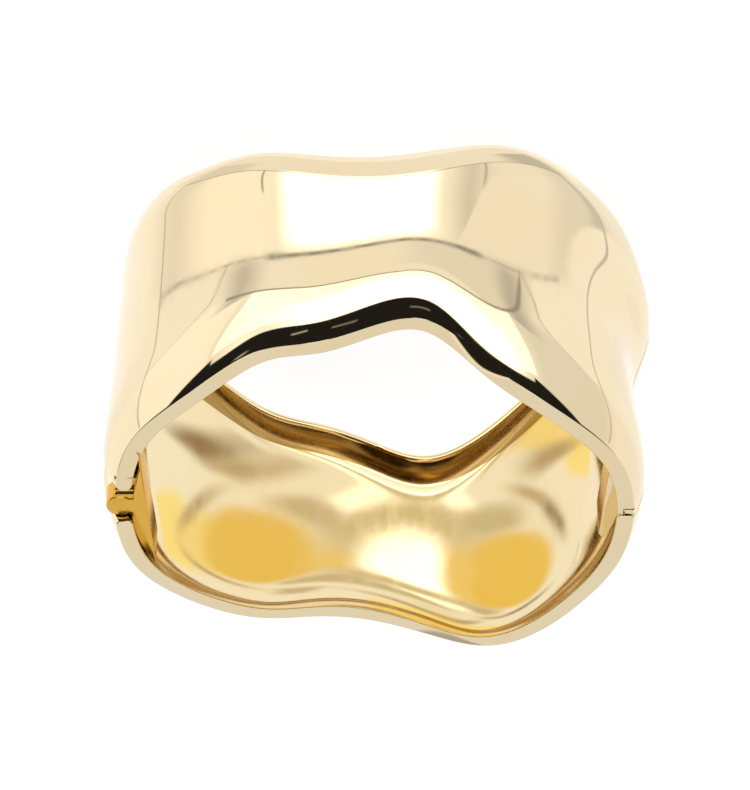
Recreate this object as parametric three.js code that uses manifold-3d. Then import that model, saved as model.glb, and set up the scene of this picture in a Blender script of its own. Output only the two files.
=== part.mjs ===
// A wide hinged bangle of cast metal, lying on its side, in millimetres with +Z up.
// The wrist goes in along Z. The upper half turns about a pin on the +X side, and closes against the
// lower half on the -X side. Angles are in degrees round +Z from +X: the lower half runs from 0 to 180,
// and the upper half from 180 to 360.
import * as THREE from "three";
import { mergeVertices } from "three/addons/utils/BufferGeometryUtils.js";
import Module from "manifold-3d";

// The band's plan, outside, where it is fullest.
const HALF_LONG = 32.15;
const HALF_SHORT = 29.1;
const WALL = 2.1;
const INNER_CORNER = 0.9; // the rounding between a rim and the inside

// Heights of the two wavy rims, one row for every 15 degrees from the hinge round. They are the control
// heights of a smooth closed curve, which passes a little inside them.
const RIM_STEP = 15;
const RIMS = [
  { front: 39.7, back: 0.5 },
  { front: 40.9, back: 0.4 },
  { front: 39.3, back: 0.0 },
  { front: 38.1, back: 0.8 },
  { front: 37.2, back: 4.0 },
  { front: 34.6, back: 3.6 },
  { front: 34.8, back: 6.4 },
  { front: 37.8, back: 10.6 },
  { front: 42.0, back: 7.9 },
  { front: 42.2, back: 3.6 },
  { front: 41.0, back: 0.7 },
  { front: 41.4, back: 0.2 },
  { front: 40.4, back: 0.4 },
  { front: 39.8, back: 0.2 },
  { front: 41.0, back: 0.8 },
  { front: 40.8, back: 0.2 },
  { front: 38.5, back: 1.8 },
  { front: 31.0, back: 5.3 },
  { front: 33.8, back: 7.1 },
  { front: 36.8, back: 6.1 },
  { front: 34.8, back: 3.1 },
  { front: 38.0, back: 2.8 },
  { front: 38.3, back: 0.6 },
  { front: 37.0, back: 0.2 },
];

// Each rim rolls inwards: over this height, and by this much at the middle and at the ends of a half.
const FRONT_ROLL = { height: 9.7, middle: 2.4, ends: 1.4 };
const BACK_ROLL = { height: 6.5, middle: 1.3, ends: 1.0 };

// The outside is crowned, most at the middle of a half: the crest's place, as a share of the height up
// from the back rim, and how far the outside falls from there to that rim.
const CROWN = { crest: 0.61, fall: 1.19 };

// Soft swells and hollows of the outside: where each is, how far it spreads and how far it rises.
const SWELLS = [
  { angle: 0, z: 33, spreadAngle: 24, spreadZ: 8, rise: 0.6 },
  { angle: 0, z: 3, spreadAngle: 24, spreadZ: 14, rise: -0.8 },
  { angle: 180, z: 10, spreadAngle: 20, spreadZ: 7, rise: 1.9 },
  { angle: 180, z: 21, spreadAngle: 20, spreadZ: 6, rise: -0.8 },
  { angle: 185, z: 36, spreadAngle: 20, spreadZ: 6, rise: 0.55 },
  { angle: 199, z: 4, spreadAngle: 13, spreadZ: 9, rise: 0.5 },
];

// The ends of the halves.
const HINGE_SEAM = 0.25; // from the middle plane to an end face at the hinge
const CLOSURE_SEAM = 0.15; // and at the closure
const HINGE_OPEN_FROM = 14; // above this height the two ends draw apart, so that the hinge can open
const HINGE_OPEN_HEIGHT = 25;
const UPPER_DRAW = 2.3;
const LOWER_DRAW = 1.8;
const NOSE = 1.0; // radius of the rounded ends at the hinge
const NOSE_STEPS = [0, 0.15, 0.45, 1.0, 1.8]; // distances from the end of the sections that round it
const CLOSURE_EDGE = 0.25;
const END_LAND = 0.35; // share of the wall's thickness that stays flat at an end

// The hinge: five knuckles on one pin, parallel to Z.
const PIN_X = 30.4;
const PIN_RADIUS = 0.5;
const PIN_BORE = 0.7;
const PIN_SET_BACK = 0.2; // of the pin's ends in its bore
const PIN_CAP = 0.8; // of the front knuckle, left undrilled in front of the pin
const BORE_PAST = 1; // how far the bore is drilled past the back knuckle
const KNUCKLE_RADIUS = 1.15;
const KNUCKLE_LENGTH = 6;
const KNUCKLES_FROM = 6;
const KNUCKLE_COUNT = 5;
const RUNNING_GAP = 0.3;

// The two flat-sided pieces that lie inside across the seams. The one at the hinge has a thinner leaf
// behind it, which runs down along the knuckles.
const SEAT_GAP = 0.3;
const HINGE_BLOCK = { x: 27.1, y: 1.1, length: 18.6, tilt: 4.5, from: 33.7, to: 37.2 };
const HINGE_LEAF = { x: 28.1, y: 0, length: 16, tilt: 0, from: 5.2, to: 37 };
const TONGUE = { x: -27.75, y: 0.9, length: 15.6, tilt: -4.5, from: 31, to: 36.6 };
const FILLER_DEPTH = 8; // more than the wall's curve is deep behind either piece
const LUG = { width: 2.2, reach: 2.4 }; // joins each knuckle of the hinge block to the leaf

// The nib on the lower half's closing end, and its notch in the upper half.
const NIB = { x: -30.3, z: 39.2, width: 1.0, reach: 0.9, depth: 1.6 };
const NOTCH_GAP = 0.3;

// How finely the faceted solids follow the curves.
const LEVELS = 14;
const STATIONS = 60;
const RING_SIDES = 120;
const ROUND_SIDES = 20;
const MERGE = 1e-4;

const degrees = THREE.MathUtils.degToRad;

// A smooth closed curve through the rows of RIMS: the cubic B-spline of one of its columns.
function rimHeight(column, angle) {
  const place = THREE.MathUtils.euclideanModulo(angle, 360) / RIM_STEP;
  const row = Math.floor(place);
  const u = place - row;
  const weights = [
    (1 - u) ** 3,
    3 * u ** 3 - 6 * u ** 2 + 4,
    -3 * u ** 3 + 3 * u ** 2 + 3 * u + 1,
    u ** 3,
  ];
  const count = RIMS.length;
  let sum = 0;
  weights.forEach((weight, k) => {
    sum += weight * RIMS[(row + k - 1 + count) % count][column];
  });
  return sum / 6;
}

// How far a rim's roll draws the wall in, at a distance from that rim.
function rolledIn(roll, angle, distance) {
  const depth = roll.ends + (roll.middle - roll.ends) * Math.sin(degrees(angle)) ** 2;
  const left = THREE.MathUtils.clamp(1 - distance / roll.height, 0, 1);
  return depth * left ** 3;
}

// Radius of the outside at an angle and a height.
function outsideRadius(angle, z) {
  const a = degrees(angle);
  let radius = 1 / Math.hypot(Math.cos(a) / HALF_LONG, Math.sin(a) / HALF_SHORT);
  for (const swell of SWELLS) {
    const turn = THREE.MathUtils.euclideanModulo(angle - swell.angle + 180, 360) - 180;
    const along = turn / swell.spreadAngle;
    const across = (z - swell.z) / swell.spreadZ;
    radius += swell.rise * Math.exp(-(along ** 2) - across ** 2);
  }
  const back = rimHeight("back", angle);
  const front = rimHeight("front", angle);
  const fromCrest = ((z - back) / (front - back) - CROWN.crest) / CROWN.crest;
  radius -= CROWN.fall * Math.sin(a) ** 4 * fromCrest ** 2;
  radius -= rolledIn(FRONT_ROLL, angle, front - z);
  radius -= rolledIn(BACK_ROLL, angle, z - back);
  return radius;
}

function polar(radius, angle, z) {
  const a = degrees(angle);
  return new THREE.Vector3(radius * Math.cos(a), radius * Math.sin(a), z);
}

// Levels from the back rim (0) to the front rim (1), closer together near the rims.
function levels(count) {
  return Array.from({ length: count }, (_, k) => (1 - Math.cos((Math.PI * k) / (count - 1))) / 2);
}

// Faces that join each closed loop of points to the next one.
function sideFaces(rows, sides) {
  const faces = [];
  for (let row = 0; row + 1 < rows; row++) {
    for (let k = 0; k < sides; k++) {
      const a = row * sides + k;
      const b = row * sides + ((k + 1) % sides);
      faces.push(a, b, a + sides, b, b + sides, a + sides);
    }
  }
  return faces;
}

function meshOf(points, faces) {
  const positions = points.flatMap((p) => [p.x, p.y, p.z]);
  const geometry = new THREE.BufferGeometry();
  geometry.setAttribute("position", new THREE.Float32BufferAttribute(positions, 3));
  geometry.setIndex(faces);
  return geometry;
}

// A closed shape through loops that each go out along one face of a wall and back along the other, so
// that each end is closed by a strip between the two faces.
function wallThrough(loops) {
  const sides = loops[0].length;
  const faces = sideFaces(loops.length, sides);
  const last = (loops.length - 1) * sides;
  for (let k = 0; k + 1 < sides / 2; k++) {
    const far = sides - 1 - k;
    faces.push(k + 1, k, far, k + 1, far, far - 1);
    faces.push(last + k, last + k + 1, last + far, last + k + 1, last + far - 1, last + far);
  }
  return meshOf(loops.flat(), faces);
}

// A closed shape through rings stacked from low to high, with a fan at the bottom and at the top.
function stackThrough(rings) {
  const sides = rings[0].length;
  const centre = (ring) => {
    const sum = new THREE.Vector3();
    ring.forEach((point) => sum.add(point));
    return sum.divideScalar(sides);
  };
  const faces = sideFaces(rings.length, sides);
  const top = (rings.length - 1) * sides;
  const bottomCentre = rings.length * sides;
  for (let k = 0; k < sides; k++) {
    const next = (k + 1) % sides;
    faces.push(bottomCentre, next, k);
    faces.push(bottomCentre + 1, top + k, top + next);
  }
  return meshOf([...rings.flat(), centre(rings[0]), centre(rings.at(-1))], faces);
}

const wasm = await Module();
wasm.setup();

// A closed geometry as a solid that can be cut and joined.
function solidOf(geometry) {
  const bare = new THREE.BufferGeometry();
  const flat = geometry.index ? geometry.toNonIndexed() : geometry;
  bare.setAttribute("position", flat.getAttribute("position"));
  const merged = mergeVertices(bare, MERGE);
  return new wasm.Manifold(
    new wasm.Mesh({
      numProp: 3,
      vertProperties: merged.attributes.position.array,
      triVerts: new Uint32Array(merged.index.array),
    }),
  );
}

function geometryOf(solid) {
  const mesh = solid.getMesh();
  const geometry = new THREE.BufferGeometry();
  geometry.setAttribute("position", new THREE.BufferAttribute(mesh.vertProperties, 3));
  geometry.setIndex(new THREE.BufferAttribute(mesh.triVerts, 1));
  const facets = geometry.toNonIndexed();
  facets.computeVertexNormals();
  return facets;
}

function placed(geometry, x, y, z, turn = 0) {
  geometry.rotateZ(degrees(turn));
  geometry.translate(x, y, z);
  return solidOf(geometry);
}

// A round bar on the hinge's axis.
function hingeBar(radius, from, to) {
  const bar = new THREE.CylinderGeometry(radius, radius, to - from, ROUND_SIDES);
  bar.rotateX(Math.PI / 2);
  return placed(bar, PIN_X, 0, (from + to) / 2);
}

// How far an end of a half stands back from the middle plane at the hinge, at a height.
function hingeDraw(most, z) {
  const above = Math.max(0, z - HINGE_OPEN_FROM) / HINGE_OPEN_HEIGHT;
  return HINGE_SEAM + most * above ** 2;
}

// Share of the wall's thickness that is left at a distance from a rounded end.
function endRound(distance, radius) {
  const left = Math.max(0, 1 - distance / radius);
  return Math.max(END_LAND, Math.sqrt(1 - left ** 2));
}

// How far a rounded corner cuts in at a distance from its edge.
function fillet(distance, radius) {
  return distance < radius ? radius - Math.sqrt(radius ** 2 - (radius - distance) ** 2) : 0;
}

// One half of the band. side is 1 for the lower half (angles 0 to 180) and -1 for the upper half.
function halfBand(side, draw) {
  const length = (Math.PI * (HALF_LONG + HALF_SHORT)) / 2;
  const shares = [
    ...NOSE_STEPS.map((distance) => distance / length),
    ...Array.from({ length: STATIONS - 2 }, (_, k) => (k + 2) / STATIONS),
    1 - CLOSURE_EDGE / length,
    1,
  ];
  const loops = shares.map((share) => {
    const round = Math.min(endRound(share * length, NOSE), endRound((1 - share) * length, CLOSURE_EDGE));
    const thinned = (WALL / 2) * (1 - round);
    const outer = [];
    const inner = [];
    for (const t of levels(LEVELS)) {
      // The ends' own angles at this level, and the section's angle between them.
      const endZ = THREE.MathUtils.lerp(rimHeight("back", 0), rimHeight("front", 0), t);
      const start = THREE.MathUtils.radToDeg(hingeDraw(draw, endZ) / HALF_LONG);
      const end = 180 - THREE.MathUtils.radToDeg(CLOSURE_SEAM / HALF_LONG);
      const angle = side * THREE.MathUtils.lerp(start, end, share);
      const back = rimHeight("back", angle);
      const front = rimHeight("front", angle);
      const z = THREE.MathUtils.lerp(back, front, t);
      const radius = outsideRadius(angle, z);
      const corner = fillet(Math.min(z - back, front - z), INNER_CORNER);
      outer.push(polar(radius - thinned, angle, z));
      inner.push(polar(radius - WALL + Math.max(thinned, corner), angle, z));
    }
    const loop = [...outer, ...inner.reverse()];
    return side > 0 ? loop.reverse() : loop;
  });
  return solidOf(wallThrough(loops));
}

// The space inside the band, kept clear of its wall by a gap, as one closed solid.
function insideSpace(gap) {
  const rings = levels(LEVELS).map((t) =>
    Array.from({ length: RING_SIDES }, (_, k) => {
      const angle = (360 / RING_SIDES) * k;
      const z = THREE.MathUtils.lerp(rimHeight("back", angle), rimHeight("front", angle), t);
      return polar(outsideRadius(angle, z) - WALL - gap, angle, z);
    }),
  );
  return solidOf(stackThrough(rings));
}

// A flat-sided piece that fills the wall's curve across a seam, up to a plane on the wrist's side.
function seamFiller(plan, space) {
  const outward = Math.sign(plan.x);
  const box = new THREE.BoxGeometry(FILLER_DEPTH, plan.length, plan.to - plan.from);
  box.translate((outward * FILLER_DEPTH) / 2, 0, 0);
  return placed(box, plan.x, plan.y, (plan.from + plan.to) / 2, plan.tilt).intersect(space);
}

// Where each knuckle starts and ends, from the back rim to the front one.
const knuckles = Array.from({ length: KNUCKLE_COUNT }, (_, k) => {
  const from = KNUCKLES_FROM + k * (KNUCKLE_LENGTH + RUNNING_GAP);
  return { from, to: from + KNUCKLE_LENGTH, onBlock: k % 2 === 0 };
});
const knucklesTo = knuckles[KNUCKLE_COUNT - 1].to;
const boreTo = knucklesTo - PIN_CAP;
const pinBore = hingeBar(PIN_BORE, KNUCKLES_FROM - BORE_PAST, boreTo);
const clearing = (knuckle) =>
  hingeBar(KNUCKLE_RADIUS + RUNNING_GAP, knuckle.from - RUNNING_GAP, knuckle.to + RUNNING_GAP);
const knuckleBar = (knuckle) => hingeBar(KNUCKLE_RADIUS, knuckle.from, knuckle.to);

// The lug between a knuckle and the leaf, or the room for it with a gap all round.
function lugBar(knuckle, gap = 0) {
  const lug = new THREE.BoxGeometry(LUG.reach, LUG.width + 2 * gap, KNUCKLE_LENGTH + 2 * gap);
  return placed(lug, PIN_X - LUG.reach / 2, 0, (knuckle.from + knuckle.to) / 2);
}

function clearOfLugs(half) {
  const lugs = knuckles.filter((k) => k.onBlock);
  return lugs.reduce((left, knuckle) => left.subtract(lugBar(knuckle, RUNNING_GAP)), half);
}

function lowerHalf() {
  let half = clearOfLugs(halfBand(1, LOWER_DRAW));
  for (const knuckle of knuckles.filter((k) => k.onBlock)) half = half.subtract(clearing(knuckle));
  for (const knuckle of knuckles.filter((k) => !k.onBlock)) half = half.add(knuckleBar(knuckle));
  const nib = new THREE.BoxGeometry(NIB.width, 2 * NIB.reach, NIB.depth);
  half = half.add(placed(nib, NIB.x, 0, NIB.z));
  return half.subtract(pinBore);
}

function upperHalf() {
  const room = clearing({ from: KNUCKLES_FROM, to: knucklesTo });
  const notch = new THREE.BoxGeometry(
    NIB.width + 2 * NOTCH_GAP,
    2 * (NIB.reach + NOTCH_GAP),
    NIB.depth + 2 * NOTCH_GAP,
  );
  return clearOfLugs(halfBand(-1, UPPER_DRAW))
    .subtract(room)
    .subtract(placed(notch, NIB.x, 0, NIB.z));
}

function hingeBlock(space) {
  let block = seamFiller(HINGE_BLOCK, space).add(seamFiller(HINGE_LEAF, space));
  for (const knuckle of knuckles.filter((k) => !k.onBlock)) block = block.subtract(clearing(knuckle));
  for (const knuckle of knuckles.filter((k) => k.onBlock)) {
    block = block.add(lugBar(knuckle)).add(knuckleBar(knuckle));
  }
  return block.subtract(pinBore);
}

const polishedGold = { color: 0xe9cf97, roughness: 0.08, metalness: 1 };
const satinGold = { color: 0xd9ab4f, roughness: 0.3, metalness: 1 };
const steelPin = { color: 0xc9b27a, roughness: 0.25, metalness: 1 };

function piece(name, solid, finish) {
  const mesh = new THREE.Mesh(geometryOf(solid), new THREE.MeshStandardMaterial(finish));
  mesh.name = name;
  return mesh;
}

const space = insideSpace(SEAT_GAP);
const pin = hingeBar(PIN_RADIUS, KNUCKLES_FROM + PIN_SET_BACK, boreTo - PIN_SET_BACK);
const bangle = new THREE.Group();
bangle.add(piece("lower_half", lowerHalf(), polishedGold));
bangle.add(piece("upper_half", upperHalf(), polishedGold));
bangle.add(piece("hinge_block", hingeBlock(space), satinGold));
bangle.add(piece("closure_tongue", seamFiller(TONGUE, space), satinGold));
bangle.add(piece("hinge_pin", pin, steelPin));

// The origin is under the middle of the whole, at the height of the back rim's lowest point.
const extent = new THREE.Box3().setFromObject(bangle);
const middle = extent.getCenter(new THREE.Vector3());
bangle.position.set(-middle.x, -middle.y, -extent.min.z);

export default bangle;
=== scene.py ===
"""A wide hinged bangle of polished gold-plated metal, lying on its side on a pale floor.

The band is two cast halves. They turn on a pin at the +X side and meet at the -X side. Shapes are worked
out in millimetres in the band's own place, and moved to the frame's place and to metres as they are built.
Angles run round +Z from +X in degrees: the lower half from 0 to 180 and the upper half from 180 to 360.
"""
import math

import bmesh
import bpy
import numpy as np
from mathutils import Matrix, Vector


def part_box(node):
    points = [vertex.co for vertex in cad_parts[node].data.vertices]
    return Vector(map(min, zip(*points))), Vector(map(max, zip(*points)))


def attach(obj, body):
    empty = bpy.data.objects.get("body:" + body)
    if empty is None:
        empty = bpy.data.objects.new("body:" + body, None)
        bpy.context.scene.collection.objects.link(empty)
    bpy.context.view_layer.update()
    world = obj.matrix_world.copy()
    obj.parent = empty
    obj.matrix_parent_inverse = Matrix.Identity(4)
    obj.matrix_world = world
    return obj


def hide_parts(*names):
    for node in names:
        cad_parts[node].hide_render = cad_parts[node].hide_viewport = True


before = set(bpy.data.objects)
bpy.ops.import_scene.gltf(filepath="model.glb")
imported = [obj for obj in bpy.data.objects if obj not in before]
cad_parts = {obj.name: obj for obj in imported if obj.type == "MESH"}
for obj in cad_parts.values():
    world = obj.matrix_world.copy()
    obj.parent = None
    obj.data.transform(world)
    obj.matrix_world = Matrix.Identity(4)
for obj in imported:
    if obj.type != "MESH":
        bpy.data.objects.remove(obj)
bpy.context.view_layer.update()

MM = 0.001

# ---------------------------------------------------------------- sizes of the bangle, in millimetres

# The band's plan, outside, where it is fullest, and its wall. The rims' inner corners are rounded by
# FRONT_CORNER and BACK_CORNER, and their outer corners by OUTER_EDGE. Up to the lip's height above the back
# rim, the wall is thicker inside.
HALF_LONG = 32.15
HALF_SHORT = 29.1
WALL = 2.1
FRONT_CORNER = 0.2
BACK_CORNER = 1.5
BACK_LIP = {"height": 7, "depth": 1.35}
OUTER_EDGE = 0.12

# Control heights of the two wavy rims, one row for every 15 degrees from the hinge round.
RIM_STEP = 15
RIMS = [
    {"front": 39.7, "back": 0.5},
    {"front": 40.9, "back": 0.4},
    {"front": 39.3, "back": 0.0},
    {"front": 38.1, "back": 0.8},
    {"front": 37.2, "back": 4.0},
    {"front": 34.6, "back": 3.6},
    {"front": 34.8, "back": 6.4},
    {"front": 37.8, "back": 10.6},
    {"front": 42.0, "back": 7.9},
    {"front": 42.2, "back": 3.6},
    {"front": 41.0, "back": 0.7},
    {"front": 41.4, "back": 0.2},
    {"front": 40.4, "back": 0.4},
    {"front": 39.8, "back": 0.2},
    {"front": 41.0, "back": 0.8},
    {"front": 40.8, "back": 0.2},
    {"front": 38.5, "back": 1.8},
    {"front": 31.0, "back": 5.3},
    {"front": 33.8, "back": 7.1},
    {"front": 36.8, "back": 6.1},
    {"front": 34.8, "back": 3.1},
    {"front": 38.0, "back": 2.8},
    {"front": 38.3, "back": 0.6},
    {"front": 37.0, "back": 0.2},
]

# Each rim rolls inwards: over this height, and by this much at the middle and at the ends of a half.
FRONT_ROLL = {"height": 9.7, "middle": 2.4, "ends": 1.4}
BACK_ROLL = {"height": 6.5, "middle": 1.3, "ends": 1.0}

# The outside is crowned: the crest's place, as a share of the height, and the fall from there to the back
# rim.
CROWN = {"crest": 0.61, "fall": 1.19}

# Soft swells and hollows of the outside: where each is, how far it spreads and how far it rises.
SWELLS = [
    {"angle": 0, "z": 33, "spread_angle": 24, "spread_z": 8, "rise": 0.6},
    {"angle": 0, "z": 3, "spread_angle": 24, "spread_z": 14, "rise": -0.8},
    {"angle": 180, "z": 10, "spread_angle": 20, "spread_z": 7, "rise": 1.9},
    {"angle": 180, "z": 21, "spread_angle": 20, "spread_z": 6, "rise": -0.8},
    {"angle": 185, "z": 36, "spread_angle": 20, "spread_z": 6, "rise": 0.55},
    {"angle": 199, "z": 4, "spread_angle": 13, "spread_z": 9, "rise": 0.5},
]

# The ends of the halves. Each stands back from the middle plane by a seam. At the hinge they draw further
# back above a height, and are rounded; END_LAND is the share of the wall that stays flat at an end.
HINGE_SEAM = 0.25
CLOSURE_SEAM = 0.15
HINGE_OPEN_FROM = 14
HINGE_OPEN_HEIGHT = 25
UPPER_DRAW = 2.3
LOWER_DRAW = 1.5
NOSE = 1.0
CLOSURE_EDGE = 0.25
END_LAND = 0.3

# The hinge: knuckles in a row on one pin, parallel to Z. The pin's ends are set back in its bore.
PIN_X = 30.4
PIN_BORE = 0.7
PIN_SET_BACK = 0.2
KNUCKLE_RADIUS = 1.15
KNUCKLE_LENGTH = 6
KNUCKLE_EDGE = 0.15
KNUCKLES_FROM = 6
KNUCKLE_COUNT = 5
RUNNING_GAP = 0.3
LUG = {"width": 2.2, "reach": 2.1, "set_back": 0.3}

# The flat-sided pieces inside. Each lies between a plane on the wrist's side and the wall: the plane's
# middle, its length, its tilt in degrees, the heights that the piece goes from and to, its corners' radius
# and its gap to the wall.
FILLERS = {
    "block": {
        "x": 27.1, "y": 1.1, "length": 18.6, "tilt": 4.5,
        "from": 33.7, "to": 39.1, "corner": 0.3, "gap": 0.15,
    },
    "leaf": {
        "x": 28.1, "y": 0, "length": 16, "tilt": 0,
        "from": 5.2, "to": 36.6, "corner": 0.1, "gap": 0.3,
    },
    "tongue": {
        "x": -27.75, "y": 0.9, "length": 15.6, "tilt": -4.5,
        "from": 31, "to": 36.6, "corner": 0.55, "gap": 0.3,
    },
}

# Their front and back edges are rounded, and they are nowhere thinner than a least depth. The block's
# outline lies a little outside its knuckles, and its front face falls away on the upper half's side: from a
# place along Y, by a slope.
FILLER_EDGE = 0.22
LEAST_DEPTH = 0.02
KNUCKLE_LAP = 0.02
BLOCK_FALL = {"start": -3, "slope": 0.28}
LEVEL = {"start": 0, "slope": 0}

# The block's front end closes the hinge's opening: a round boss about the pin, with room round it in the
# lower half, and bars beside it. Each bar is lower than the one before, and reaches further under the upper
# half's rounded end.
BOSS = {"radius": 1.68, "thick": 2.7, "set_back": 0.03, "edge": 0.15, "room": 0.25}
BOSS_BAR = {"reach": 2.2, "past_pin": 0.6, "inset": 0.12}
BOSS_BARS = [
    {"near": -2.15, "set_back": 0.14},
    {"near": -2.7, "set_back": 0.4},
    {"near": -4.4, "set_back": 0.75},
]

# The nib on the lower half's closing end, and its notch in the upper half.
NIB = {"x": -30.5, "z": 39.5, "width": 1.2, "reach": 0.9, "depth": 1.6, "edge": 0.12}
NOTCH_GAP = 0.12

# A cut-out runs this far out past the surface that it opens.
CUT_PAST = 2 * WALL

# The frame's pin shows where the band's own place lies in the frame.
pin_low, pin_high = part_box("hinge_pin")
PLACE = Vector((
    (pin_low.x + pin_high.x) / 2 / MM - PIN_X,
    (pin_low.y + pin_high.y) / 2 / MM,
    pin_low.z / MM - KNUCKLES_FROM - PIN_SET_BACK,
))

# How finely the meshes follow the curves.
STATIONS = 260
LEVELS = 72
CORNER_STEPS = 6
EDGE_STEPS = 4
NOSE_ANGLES = 9
FILLER_STATIONS = 48
FILLER_LEVELS = 24
FILLER_CORNER = 9
FILLER_SOFT = 5
ROUND_SIDES = 64
KNUCKLE_EDGE_STEPS = 4

# The tries at a depth to the wall, a box's least edge, the slack in comparing two lengths, and how far a
# face has to look up to be a front face.
WALL_TRIES = 12
LEAST_EDGE = 1e-3
TINY = 1e-6
FACING_FRONT = 0.5

# Edges sharper than so many degrees stay crisp.
WALL_CREASE = 40
SMALL_CREASE = 30
FLAT_CREASE = 15

# ---------------------------------------------------------------- the form of the band


def rim_height(column, angle):
    """Height of a rim at an angle: a smooth closed curve, the cubic B-spline of one column of RIMS."""
    rows = np.array([row[column] for row in RIMS])
    place = np.mod(angle, 360) / RIM_STEP
    row = np.floor(place).astype(int)
    u = place - row
    weights = [(1 - u) ** 3, 3 * u**3 - 6 * u**2 + 4, -3 * u**3 + 3 * u**2 + 3 * u + 1, u**3]
    return sum(w * rows[(row + k - 1) % len(rows)] for k, w in enumerate(weights)) / 6


def rolled_in(roll, angle, distance):
    """How far a rim's roll draws the wall in, at a distance from that rim."""
    depth = roll["ends"] + (roll["middle"] - roll["ends"]) * np.sin(np.radians(angle)) ** 2
    return depth * np.clip(1 - distance / roll["height"], 0, 1) ** 3


def outside_radius(angle, z):
    """Radius of the outside at an angle and a height."""
    a = np.radians(angle)
    radius = 1 / np.hypot(np.cos(a) / HALF_LONG, np.sin(a) / HALF_SHORT)
    for swell in SWELLS:
        along = (np.mod(angle - swell["angle"] + 180, 360) - 180) / swell["spread_angle"]
        across = (z - swell["z"]) / swell["spread_z"]
        radius = radius + swell["rise"] * np.exp(-along**2 - across**2)
    back, front = rim_height("back", angle), rim_height("front", angle)
    from_crest = ((z - back) / (front - back) - CROWN["crest"]) / CROWN["crest"]
    radius = radius - CROWN["fall"] * np.sin(a) ** 4 * from_crest**2
    return radius - rolled_in(FRONT_ROLL, angle, front - z) - rolled_in(BACK_ROLL, angle, z - back)


def wall_profile():
    """One trip round the wall's section.

    Each point is a share of the height, a distance up from there and a depth into the wall. The trip goes up
    the outside, over the front rim, down the inside and under the back rim."""
    levels = (1 - np.cos(np.pi * np.arange(LEVELS + 1) / LEVELS)) / 2
    edge = np.radians(np.linspace(0, 90, EDGE_STEPS + 1))
    corner = np.radians(np.linspace(0, 90, CORNER_STEPS + 1))
    front, back = FRONT_CORNER, BACK_CORNER
    points = [(t, OUTER_EDGE * (1 - 2 * t), 0) for t in levels]
    points += [(1, OUTER_EDGE * (np.sin(a) - 1), OUTER_EDGE * (1 - np.cos(a))) for a in edge[1:]]
    points += [(1, -front * (1 - np.cos(a)), WALL - front * (1 - np.sin(a))) for a in corner]
    points += [(t, back * (1 - t) - front * t, WALL) for t in levels[-2:0:-1]]
    points += [(0, back * (1 - np.cos(a)), WALL - back * (1 - np.sin(a))) for a in corner[::-1]]
    points += [(0, OUTER_EDGE * (1 - np.sin(a)), OUTER_EDGE * (1 - np.cos(a))) for a in edge[:0:-1]]
    return np.array(points)


def hinge_draw(most, z):
    """How far an end of a half stands back from the middle plane at the hinge, at a height."""
    return HINGE_SEAM + most * (np.maximum(0, z - HINGE_OPEN_FROM) / HINGE_OPEN_HEIGHT) ** 2


def end_sections(radius):
    """Distances from a rounded end, and the share of the wall's thickness left there."""
    turn = np.linspace(math.asin(END_LAND), math.pi / 2, NOSE_ANGLES)
    return radius * (1 - np.cos(turn)) - radius * (1 - math.cos(turn[0])), np.sin(turn)


def half_band(side, draw):
    """Rows of points round the wall of one half: side is 1 for the lower half and -1 for the upper half."""
    length = math.pi * (HALF_LONG + HALF_SHORT) / 2
    nose, nose_left = end_sections(NOSE)
    edge, edge_left = end_sections(CLOSURE_EDGE)
    middle = np.linspace(nose[-1], length - edge[-1], STATIONS + 1)[1:-1]
    shares = np.concatenate([nose, middle, length - edge[::-1]]) / length
    left = np.concatenate([nose_left, np.ones(len(middle)), edge_left[::-1]])
    share, rise, depth = wall_profile().T
    end_z = rim_height("back", 0.0) * (1 - share) + rim_height("front", 0.0) * share
    start = np.degrees(hinge_draw(draw, end_z) / HALF_LONG)
    end = 180 - math.degrees(CLOSURE_SEAM / HALF_LONG)
    angle = side * (start + (end - start) * shares[:, None])
    z = rim_height("back", angle) * (1 - share) + rim_height("front", angle) * share + rise
    thinned = WALL / 2 + (depth - WALL / 2) * left[:, None]
    from_back = (z - rim_height("back", angle)) / BACK_LIP["height"]
    lip = BACK_LIP["depth"] * np.clip(1 - from_back, 0, 1) ** 3 * (thinned / WALL) ** 2
    radius = outside_radius(angle, z) - thinned - lip
    a = np.radians(angle)
    return np.stack([radius * np.cos(a), radius * np.sin(a), z], axis=-1)


# ---------------------------------------------------------------- meshes


def mesh_object(name, points, faces):
    """A closed shape from points in the band's own place, in millimetres, with its faces pointing out."""
    mesh = bpy.data.meshes.new(name)
    shape = bmesh.new()
    corners = [shape.verts.new((Vector(p) + PLACE) * MM) for p in points]
    for face in faces:
        shape.faces.new([corners[k] for k in face])
    bmesh.ops.recalc_face_normals(shape, faces=shape.faces)
    shape.to_mesh(mesh)
    shape.free()
    made = bpy.data.objects.new(name, mesh)
    bpy.context.scene.collection.objects.link(made)
    return made


def through_loops(name, loops):
    """A closed shape through loops that go out along one face and back along the other one.

    Each end is closed by a strip between the two faces."""
    rows, sides = loops.shape[:2]
    faces = []
    for row in range(rows - 1):
        for k in range(sides):
            p, q = row * sides + k, row * sides + (k + 1) % sides
            faces.append((p, p + sides, q + sides, q))
    for first in (0, (rows - 1) * sides):
        for k in range(sides // 2 - 1):
            faces.append([first + k, first + k + 1, first + sides - 2 - k, first + sides - 1 - k])
    return mesh_object(name, loops.reshape(-1, 3), faces)


def smooth(made, crease):
    """Smooth shading, with edges sharper than an angle in degrees kept crisp."""
    made.data.shade_smooth()
    made.data.set_sharp_from_angle(angle=math.radians(crease))
    return made


def evaluated(made):
    """The object's mesh with its modifiers worked out; the modifiers are then removed."""
    mesh = bpy.data.meshes.new_from_object(made.evaluated_get(bpy.context.evaluated_depsgraph_get()))
    made.modifiers.clear()
    made.data = mesh
    return made


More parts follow.
